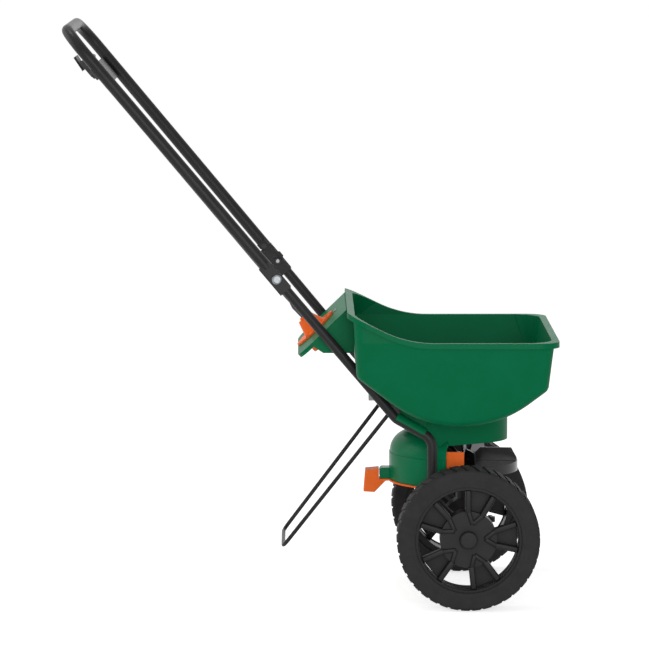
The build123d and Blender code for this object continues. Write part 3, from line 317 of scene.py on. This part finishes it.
# Rounds every edge that lies wholly above a height in the piece's own frame.
def roundAbove(obj, height, radius, steps):
    onlySelect(obj)
    mesh = obj.data
    for vertex in mesh.vertices:
        vertex.select = vertex.co.z > height
    for edge in mesh.edges:
        edge.select = all(mesh.vertices[i].select for i in edge.vertices)
    for face in mesh.polygons:
        face.select = False
    bpy.ops.object.mode_set(mode="EDIT")
    bpy.ops.mesh.select_mode(type="EDGE")
    bpy.ops.mesh.bevel(offset=radius, segments=steps, affect="EDGES")
    closeMesh()


# A bar from point to point in the XY plane, between two heights, with its upper edges rounded.
def addBar(start, end, heights, width, radius):
    run = end - start
    middle = sum(heights) / 2
    bar = startFrom(bpy.ops.mesh.primitive_cube_add, size=1, location=(*((start + end) / 2), middle))
    bar.scale = (run.length, width, heights[1] - heights[0])
    bar.rotation_euler.z = math.atan2(run.y, run.x)
    settle(bar)
    roundAbove(bar, middle, radius, meshWork["barSteps"])
    smooth(bar)
    return bar


# A place from a point and the three directions that X, Y and Z take there.
def axesAt(point, x, y, z):
    return Matrix.Translation(point) @ Matrix((x, y, z)).transposed().to_4x4()


# A place whose Z runs along a way.
def alongWay(point, way):
    return Matrix.Translation(point) @ way.to_track_quat("Z", "Y").to_matrix().to_4x4()


def dress(obj, name, body, slot, material=None):
    obj.name = name
    obj.data.materials.clear()
    obj.data.materials.append(material or made[slot])
    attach(obj, body)
    return obj


# Wheels: fat rounded ribs over the spokes' own thin ones, drawn with the axle along Z and the outer face up.
wheels = {
    "right": {"body": "drive", "turn": math.radians(3.4), "face": math.radians(90)},
    "left": {"body": "idle_wheel", "turn": 0.0, "face": math.radians(-90)},
}
spokeRibs = {
    "pairs": 5, "halfAngle": math.radians(15.2), "apexR": 0.0262, "hubR": 0.0435, "rimR": 0.0806,
    "width": 0.0092, "hubWidth": 0.0072, "overlap": 0.002, "webFace": 0.0092, "hubFace": 0.0188,
    "front": 0.0222, "round": 0.0026,
}


def wheelPlace(side):
    low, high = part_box("tyre_" + side)
    middle = Vector((axle.x, (low.y + high.y) / 2, axle.z))
    return Matrix.Translation(middle) @ Matrix.Rotation(wheels[side]["face"], 4, "X")


def modelSpoke(rib):
    apex = Vector((rib["apexR"], 0))
    webHeights = (rib["webFace"], rib["front"])
    hubHeights = (rib["hubFace"], rib["front"])
    bars = []
    for edge in (-1, 1):
        angle = edge * rib["halfAngle"]
        outward = Vector((math.cos(angle), math.sin(angle)))
        hubEnd = outward * (rib["hubR"] + rib["overlap"])
        bars += [
            addBar(outward * rib["hubR"], outward * rib["rimR"], webHeights, rib["width"], rib["round"]),
            addBar(apex, hubEnd, hubHeights, rib["hubWidth"], rib["round"]),
        ]
    return joinAll(bars)


spoke = modelSpoke(spokeRibs)
for side, wheel in wheels.items():
    spokes = []
    for k in range(spokeRibs["pairs"]):
        turn = wheel["turn"] + k * math.tau / spokeRibs["pairs"]
        spokes.append(copyAt(spoke, wheelPlace(side) @ Matrix.Rotation(turn, 4, "Z")))
    dress(joinAll(spokes), "spokeRibs_" + side, wheel["body"], "black_plastic")
remove(spoke)
print("wheels: ribs on", len(wheels), "rims")


# Tyre: its side wall rolls in over the rim to a rounded bead.
# The outline is radius and height above the wheel's middle.
tyreBead = {
    "outline": (
        (0.0925, 0.0289), (0.0885, 0.0289), (0.0866, 0.0286), (0.0853, 0.0279), (0.0846, 0.0268),
        (0.0845, 0.0249), (0.0925, 0.0249),
    ),
    "steps": 160,
}


def addRing(outline, steps):
    ring = startFrom(bpy.ops.mesh.primitive_circle_add, vertices=len(outline), fill_type="NOTHING")
    for vertex, (radius, height) in zip(ring.data.vertices, outline):
        vertex.co = (radius, 0, height)
    openMesh(ring)
    bpy.ops.mesh.spin(steps=steps, angle=math.tau, center=(0, 0, 0), axis=(0, 0, 1))
    bpy.ops.mesh.select_all(action="SELECT")
    bpy.ops.mesh.remove_doubles(threshold=meshWork["merge"])
    closeMesh()
    faceOutwards(ring)
    smooth(ring)
    return ring


for side, wheel in wheels.items():
    bead = addRing(tyreBead["outline"], tyreBead["steps"])
    bead.data.transform(wheelPlace(side))
    dress(bead, "tyreBead_" + side, wheel["body"], "tyre_black")
print("tyres: beads on", len(wheels), "wheels")


# Dial: printed numbers and ticks that turn with it, and a moulded pointer on the panel beside it.
dial = {
    "numbers": range(1, 11), "step": math.radians(27), "first": math.radians(-121.5), "face": 0.0038,
    "ink": 0.0003, "sunk": 0.0001, "numberR": 0.0292, "size": 0.0078, "curveSteps": 4, "tickFrom": 0.0334,
    "tickTo": 0.0364, "tickWidth": 0.0009, "tickRound": 0.0001,
}
dialPointer = {
    "fromAxis": 0.0445, "radius": 0.0042, "height": 0.0018, "sunk": 0.0001, "sides": 3, "roundShare": 0.4,
    "roundSteps": 3,
}
dialAxis = Vector(joints["dial_turn"]["axis"]).normalized()
dialRight = Vector((0, -1, 0))
dialPlace = axesAt(joints["dial_turn"]["pos_m"], dialRight, dialAxis.cross(dialRight), dialAxis)


def addNumber(text):
    number = startFrom(bpy.ops.object.text_add)
    number.data.body = text
    number.data.size = dial["size"]
    number.data.extrude = (dial["ink"] + dial["sunk"]) / 2
    number.data.align_x = "CENTER"
    number.data.align_y = "CENTER"
    number.data.resolution_u = dial["curveSteps"]
    bpy.ops.object.convert(target="MESH")
    return bpy.context.object


def addPointer(size):
    pointer = startFrom(
        bpy.ops.mesh.primitive_cylinder_add, vertices=size["sides"], radius=size["radius"],
        depth=size["height"],
    )
    pointer.rotation_euler.z = math.pi
    settle(pointer)
    roundAbove(pointer, 0, size["height"] * size["roundShare"], size["roundSteps"])
    height = size["height"] / 2 - size["sunk"]
    pointer.data.transform(dialPlace @ Matrix.Translation((0, size["fromAxis"], height)))
    return pointer


inkHeights = (dial["face"] - dial["sunk"], dial["face"] + dial["ink"])
tickStart = Vector((0, dial["tickFrom"]))
tickEnd = Vector((0, dial["tickTo"]))
marks = []
for n in dial["numbers"]:
    turn = Matrix.Rotation(-(dial["first"] + (n - 1) * dial["step"]), 4, "Z")
    number = addNumber(str(n))
    number.data.transform(dialPlace @ turn @ Matrix.Translation((0, dial["numberR"], sum(inkHeights) / 2)))
    tick = addBar(tickStart, tickEnd, inkHeights, dial["tickWidth"], dial["tickRound"])
    tick.data.transform(dialPlace @ turn)
    marks += [number, tick]
dress(joinAll(marks), "dialNumbers", "dial", "black_plastic")
dress(addPointer(dialPointer), "dialPointer", "chassis", "grey_plastic")
print("dial:", len(marks), "marks and a pointer")


# Console: a deck slung under the handle's tubes, and the pod that holds the trigger beside and below it.
# X runs up the handle from the fold, and depths are below the tubes' centre line.
# The deck is drawn with Z out of the handle, and what hangs under it with Z the other way.
console = {
    "low": 0.404, "high": 0.4445, "half": 0.1655, "depth": 0.0055, "wall": 0.0045, "round": 0.0016,
    "podLow": 0.432, "podHigh": 0.463, "podHalf": 0.040, "podWall": 0.004, "podTop": 0.0080,
    "podDepth": 0.026, "slotDepth": 0.0125, "slotHalf": 0.005, "bossLow": 0.424, "bossHigh": 0.443,
    "bossY": 0.167, "bossWidth": 0.019, "bossDepth": 0.0125,
}
handleWay = Vector(joints["cable_slide"]["axis"]).normalized()
handleOut = Vector((0, 1, 0)).cross(handleWay)
outOfHandle = axesAt(joints["handle_fold"]["pos_m"], handleWay, handleOut.cross(handleWay), handleOut)
underHandle = outOfHandle @ Matrix.Rotation(math.pi, 4, "X")


def addSlab(run, y, depths, width, radius):
    return addBar(Vector((run[0], y)), Vector((run[1], y)), depths, width, radius)


def addDeck(size):
    depths = (-size["depth"] - size["wall"], -size["depth"])
    deck = addSlab((size["low"], size["high"]), 0, depths, 2 * size["half"], size["round"])
    deck.data.transform(outOfHandle)
    return deck


def addPod(size):
    inner = size["podLow"] + size["podWall"]
    depths = (size["podTop"], size["podDepth"])
    back = addSlab((size["podLow"], inner), 0, depths, 2 * size["podHalf"], size["round"])
    slotRun = (size["podLow"] - size["podWall"], inner + size["podWall"])
    slotDepths = (size["slotDepth"], 2 * size["podDepth"])
    cutAway(back, addSlab(slotRun, 0, slotDepths, 2 * size["slotHalf"], size["round"]))
    cheekRun = (inner - size["podWall"] / 2, size["podHigh"])
    cheekY = size["podHalf"] - size["podWall"] / 2
    bossRun = (size["bossLow"], size["bossHigh"])
    bossDepths = (size["depth"], size["bossDepth"])
    pieces = [back]
    for side in (-1, 1):
        pieces += [
            addSlab(cheekRun, side * cheekY, depths, size["podWall"], size["round"]),
            addSlab(bossRun, side * size["bossY"], bossDepths, size["bossWidth"], size["round"]),
        ]
    pod = joinAll(pieces)
    pod.data.transform(underHandle)
    return pod


bridge = joinAll([addDeck(console), addPod(console)])
smooth(bridge)
dress(bridge, "consoleBridge", "handle", "black_plastic", own["handle_console"])
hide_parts("handle_console")
print("console: deck, pod and bosses")


# Hopper: broad inner corners under the rim, which run out into the walls' own tight ones lower down.
# Insets are from the lip's outer edges to the inner faces, along X and Y. The rear rim falls away forwards.
hopperCorner = {
    "radius": 0.045, "wallR": 0.012, "dip": 0.0002, "sunk": 0.001, "arcSteps": 24, "backSteps": 8,
    "flush": 0.00002,
}
hopperEnds = {
    "front": {
        "sign": 1, "top": 0.4295, "topInset": (0.0115, 0.0090), "foot": 0.3600,
        "footInset": (0.0186, 0.0289), "fall": 0.0,
    },
    "rear": {
        "sign": -1, "top": 0.4760, "topInset": (0.0120, 0.0090), "foot": 0.4295,
        "footInset": (0.0147, 0.0090), "fall": math.tan(math.radians(26)),
    },
}


# A quarter circle that two walls touch, drawn a little way into them.
def quarter(inset, radius, into, steps):
    turns = [math.pi / 2 * k / steps for k in range(steps + 1)]
    reach = radius + into
    return [
        (-inset[0] - radius + reach * math.cos(t), -inset[1] - radius + reach * math.sin(t)) for t in turns
    ]


# The outline is the broad arc, then the wall's own arc further into the wall.
def cornerOutline(inset, radius):
    arc = quarter(inset, radius, hopperCorner["dip"], hopperCorner["arcSteps"])
    back = quarter(inset, hopperCorner["wallR"], hopperCorner["sunk"], hopperCorner["backSteps"])
    return arc + back[::-1]


def addCorner(end, lip, side):
    top = cornerOutline(end["topInset"], hopperCorner["radius"])
    foot = cornerOutline(end["footInset"], hopperCorner["wallR"])
    corner = startFrom(bpy.ops.mesh.primitive_cylinder_add, vertices=len(top), radius=1, depth=1)
    for vertex in corner.data.vertices:
        k = round(math.atan2(vertex.co.y, vertex.co.x) * len(top) / math.tau) % len(top)
        inX, inY = top[k] if vertex.co.z > 0 else foot[k]
        rim = end["top"] + end["fall"] * inX - hopperCorner["flush"]
        height = rim if vertex.co.z > 0 else end["foot"]
        vertex.co = (lip.x + end["sign"] * inX, side * (lip.y + inY), height)
    faceOutwards(corner)
    smooth(corner)
    return corner


low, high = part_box("hopper")
corners = []
for end in hopperEnds.values():
    lip = Vector((high.x if end["sign"] > 0 else low.x, high.y, 0))
    corners += [addCorner(end, lip, side) for side in (-1, 1)]
dress(joinAll(corners), "hopperCorners", "chassis", "green_plastic")
print("hopper:", len(corners), "broad corners")


# Neck: the moulding wraps over the upper half of each lower tube, and a flat black web fills the corner above
# the bend, a dark sheet that stands in for the shade there. Places are metres in the side view, X forward of
# the axle and Z above the ground.
tubeRun = {
    "from": (-0.1150, 0.2996), "to": (-0.0690, 0.2736), "tubeR": 0.00795, "gap": 0.0004, "wall": 0.0019,
    "edgeShare": 0.3, "sides": 48, "y": 0.130,
}
tubeShadeWeb = {
    "outline": ((-0.137, 0.3235), (-0.115, 0.2975), (-0.107, 0.2945), (-0.107, 0.3245), (-0.121, 0.3300)),
    "thick": 0.006, "round": 0.0015,
}


def addSaddle(run, y):
    start = Vector((axle.x + run["from"][0], y, run["from"][1]))
    end = Vector((axle.x + run["to"][0], y, run["to"][1]))
    middle = (start + end) / 2
    way = (end - start).normalized()
    above = way.cross(Vector((0, 1, 0)))
    saddle = startFrom(
        bpy.ops.mesh.primitive_cylinder_add, vertices=run["sides"], radius=run["tubeR"] + run["gap"],
        depth=(end - start).length, end_fill_type="NOTHING",
    )
    saddle.matrix_world = alongWay(middle, way)
    settle(saddle)
    openMesh(saddle)
    bpy.ops.mesh.bisect(plane_co=middle - above * run["gap"], plane_no=above, clear_inner=True)
    closeMesh()
    thicken(saddle, run["wall"], "outwards", run["wall"] * run["edgeShare"])
    smooth(saddle)
    return saddle


def addWeb(web, y):
    plate = startFrom(bpy.ops.mesh.primitive_circle_add, vertices=len(web["outline"]), fill_type="NGON")
    for vertex, (x, z) in zip(plate.data.vertices, web["outline"]):
        vertex.co = (axle.x + x, y, z)
    thicken(plate, web["thick"], "both ways", web["round"])
    faceOutwards(plate)
    smooth(plate)
    return plate


for side, sign in (("right", -1), ("left", 1)):
    y = sign * tubeRun["y"]
    dress(addSaddle(tubeRun, y), "tubeSaddle_" + side, "chassis", "green_plastic")
    # The black web is a dark sheet standing in for the shade in the corner above the bend.
    dress(addWeb(tubeShadeWeb, y), "tubeShadeWeb_" + side, "chassis", "black_paint")
print("neck: saddles and webs on both tubes")


# Shroud: its lower wall stands proud of the dome by a small step, from one angle to another in degrees.
shroudStep = {
    "radius": 0.1222, "wall": 0.0014, "edgeShare": 0.4, "low": 0.1846, "high": 0.2285, "from": 107, "to": 253,
    "sides": 360,
}


def addStep(size):
    step = startFrom(
        bpy.ops.mesh.primitive_cylinder_add, vertices=size["sides"], radius=size["radius"],
        depth=size["high"] - size["low"], end_fill_type="NOTHING",
        location=(axle.x, 0, (size["high"] + size["low"]) / 2),
    )
    settle(step)
    bpy.ops.object.mode_set(mode="EDIT")
    bpy.ops.mesh.select_mode(type="FACE")
    bpy.ops.mesh.select_all(action="DESELECT")
    closeMesh()
    for face in step.data.polygons:
        angle = math.degrees(math.atan2(face.center.y, face.center.x - axle.x)) % 360
        face.select = not size["from"] < angle < size["to"]
    bpy.ops.object.mode_set(mode="EDIT")
    bpy.ops.mesh.delete(type="FACE")
    closeMesh()
    thicken(step, size["wall"], "inwards", size["wall"] * size["edgeShare"])
    smooth(step)
    return step


# The step takes the shroud's finish, with its base colour painted lighter for the light on it.
dress(addStep(shroudStep), "shroudStep", "chassis", "green_plastic", own["rear_shroud"])
print("shroud: step round the lower wall")


# Screws: each CAD screw is drawn again in its place with a crowned head and a cross recess.
# Crown and slot are shares of the head. Points nearer the axis than axisShare of its radius are no shank,
# and those past rimShare of it belong to the head.
crossHead = {
    "sides": 28, "crown": 0.42, "crownSteps": 4, "slotLong": 0.62, "slotWide": 0.2, "slotDeep": 0.6,
    "slotRound": 0.00005, "axisShare": 0.1, "rimShare": 0.9, "smoothAngle": math.radians(35),
}
screwNodes = {
    "panel_screws": {"body": "chassis", "way": lambda place: Vector((-1, 0, 0))},
    "console_screws": {"body": "handle", "way": lambda place: -handleOut, "finish": own["latch_pin"]},
    "shroud_screws": {"body": "chassis", "way": lambda place: Vector((0, 0, -1))},
    "gearbox_screws": {"body": "chassis", "way": lambda place: Vector((0, 0, 1))},
    "frame_screws": {"body": "chassis", "way": lambda place: Vector((0, -1 if place.y > 0 else 1, 0))},
}


# A CAD node is loose triangles, so a copy is merged and parted to find its screws.
def screwPoints(node):
    twin = bpy.data.objects.new("screwCopy", frame["nodes"][node].data.copy())
    bpy.context.collection.objects.link(twin)
    openMesh(twin)
    bpy.ops.mesh.remove_doubles(threshold=meshWork["merge"])
    bpy.ops.mesh.separate(type="LOOSE")
    closeMesh()
    parted = list(bpy.context.selected_objects)
    points = [[vertex.co.copy() for vertex in part.data.vertices] for part in parted]
    bpy.ops.object.delete()
    return points


def addRound(radius, low, high):
    pin = startFrom(
        bpy.ops.mesh.primitive_cylinder_add, vertices=crossHead["sides"], radius=radius, depth=high - low,
        location=(0, 0, (low + high) / 2),
    )
    settle(pin)
    return pin


# The head's and shank's sizes are read from the CAD screw, measured along its own way.
def drawScrew(points, way):
    middle = sum(points, Vector()) / len(points)
    along = [(p - middle).dot(way) for p in points]
    wide = [((p - middle) - way * d).length for p, d in zip(points, along)]
    top, bottom, headR = max(along), min(along), max(wide)
    shankR = min(w for w in wide if w > headR * crossHead["axisShare"])
    under = min(d for d, w in zip(along, wide) if w > headR * crossHead["rimShare"])
    head = addRound(headR, under, top)
    roundAbove(head, (under + top) / 2, (top - under) * crossHead["crown"], crossHead["crownSteps"])
    slotHeights = (top - (top - under) * crossHead["slotDeep"], top + headR)
    slotWidth = headR * crossHead["slotWide"]
    for turn in (0, math.pi / 2):
        reach = Vector((math.cos(turn), math.sin(turn))) * headR * crossHead["slotLong"]
        cutAway(head, addBar(-reach, reach, slotHeights, slotWidth, crossHead["slotRound"]))
    screw = joinAll([head, addRound(shankR, bottom, under)])
    smooth(screw, crossHead["smoothAngle"])
    screw.data.transform(alongWay(middle, way))
    return screw


for node, spec in screwNodes.items():
    drawn = [drawScrew(points, spec["way"](points[0])) for points in screwPoints(node)]
    whole = dress(joinAll(drawn), "crossHead_" + node, spec["body"], "zinc_steel", spec.get("finish"))
    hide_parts(node)
    print("screws:", node, len(drawn))


# The photograph was taken from a long way off on the machine's right side, looking a little down.
camera = {
    "place": (axle.x - 0.2694, -6.4767, 1.1877), "right": (0.99998, -0.0064, 0.0),
    "forward": (0.0064, 0.9933, -0.1158), "focalPixels": 4001, "imagePixels": 649, "sensor": 36,
    "clipEnd": 50,
}
right = Vector(camera["right"]).normalized()
forward = Vector(camera["forward"]).normalized()
photoCamera = startFrom(bpy.ops.object.camera_add)
photoCamera.name = "photoCamera"
photoCamera.matrix_world = axesAt(camera["place"], right, right.cross(forward), -forward)
photoCamera.data.sensor_fit = "HORIZONTAL"
photoCamera.data.sensor_width = camera["sensor"]
photoCamera.data.lens = camera["focalPixels"] * camera["sensor"] / camera["imagePixels"]
photoCamera.data.clip_end = camera["clipEnd"]
bpy.context.scene.camera = photoCamera


# 1 for rays that show the backdrop, straight or in metal and glass, and 0 for those that light the object.
def backdropRays(tree):
    rays = addNode(tree, "ShaderNodeLightPath").outputs
    seen = rays["Is Camera Ray"]
    for kind in ("Is Glossy Ray", "Is Transmission Ray"):
        seen = addNode(tree, "ShaderNodeMath", {"operation": "MAXIMUM"}, _0=seen, _1=rays[kind]).outputs[0]
    return seen


# A pale floor that a camera sees as white where no shadow falls.
studioFloor = {"size": 60, "drop": 0.0006, "colour": "#f4f4f4", "glow": 0.67}
white = paint("#ffffff")
floor = startFrom(
    bpy.ops.mesh.primitive_plane_add, size=studioFloor["size"], location=(0, 0, -studioFloor["drop"]),
)
floor.name = "studioFloor"
floorPaint, floorTree = blankMaterial("paperSweepMatt")
paper = addNode(floorTree, "ShaderNodeBsdfDiffuse", {"Color": paint(studioFloor["colour"])})
glow = addNode(floorTree, "ShaderNodeMath", {"operation": "MULTIPLY"}, _0=backdropRays(floorTree))
glow.inputs[1].default_value = studioFloor["glow"]
lift = addNode(floorTree, "ShaderNodeEmission", {"Color": white}, Strength=glow.outputs[0])
both = addNode(floorTree, "ShaderNodeAddShader", _0=paper.outputs[0], _1=lift.outputs[0])
addNode(floorTree, "ShaderNodeOutputMaterial", Surface=both.outputs[0])
floor.data.materials.append(floorPaint)

# The sky is white to look at and lights the object more weakly.
studioSky = {"shown": 1.0, "ambient": 0.38}
world = bpy.data.worlds.new("studioWorld")
world.use_nodes = True
bpy.context.scene.world = world
sky = world.node_tree
sky.nodes.clear()
ambient = addNode(sky, "ShaderNodeBackground", {"Color": white, "Strength": studioSky["ambient"]})
shown = addNode(sky, "ShaderNodeBackground", {"Color": white, "Strength": studioSky["shown"]})
pick = addNode(
    sky, "ShaderNodeMixShader", Fac=backdropRays(sky), _1=ambient.outputs[0], _2=shown.outputs[0],
)
addNode(sky, "ShaderNodeOutputWorld", Surface=pick.outputs[0])

lampAim = Vector((0, 0, 0.4))
lamps = {
    "keyPanel": {"place": (0.5, -3.2, 0.5), "size": 2.0, "watts": 54},
    "topPanel": {"place": (-0.8, 0.2, 2.5), "size": 0.7, "watts": 9},
    "rearPanel": {"place": (-2.6, 0.2, 1.2), "size": 2.0, "watts": 21},
    "farPanel": {"place": (1.0, 2.8, 1.2), "size": 2.0, "watts": 6},
}
for name, lamp in lamps.items():
    panel = startFrom(bpy.ops.object.light_add, type="AREA", location=lamp["place"])
    panel.name = name
    panel.data.size = lamp["size"]
    panel.data.energy = lamp["watts"]
    panel.rotation_euler = (lampAim - Vector(lamp["place"])).to_track_quat("-Z", "Y").to_euler()
print("studio: camera, floor,", len(lamps), "panels")
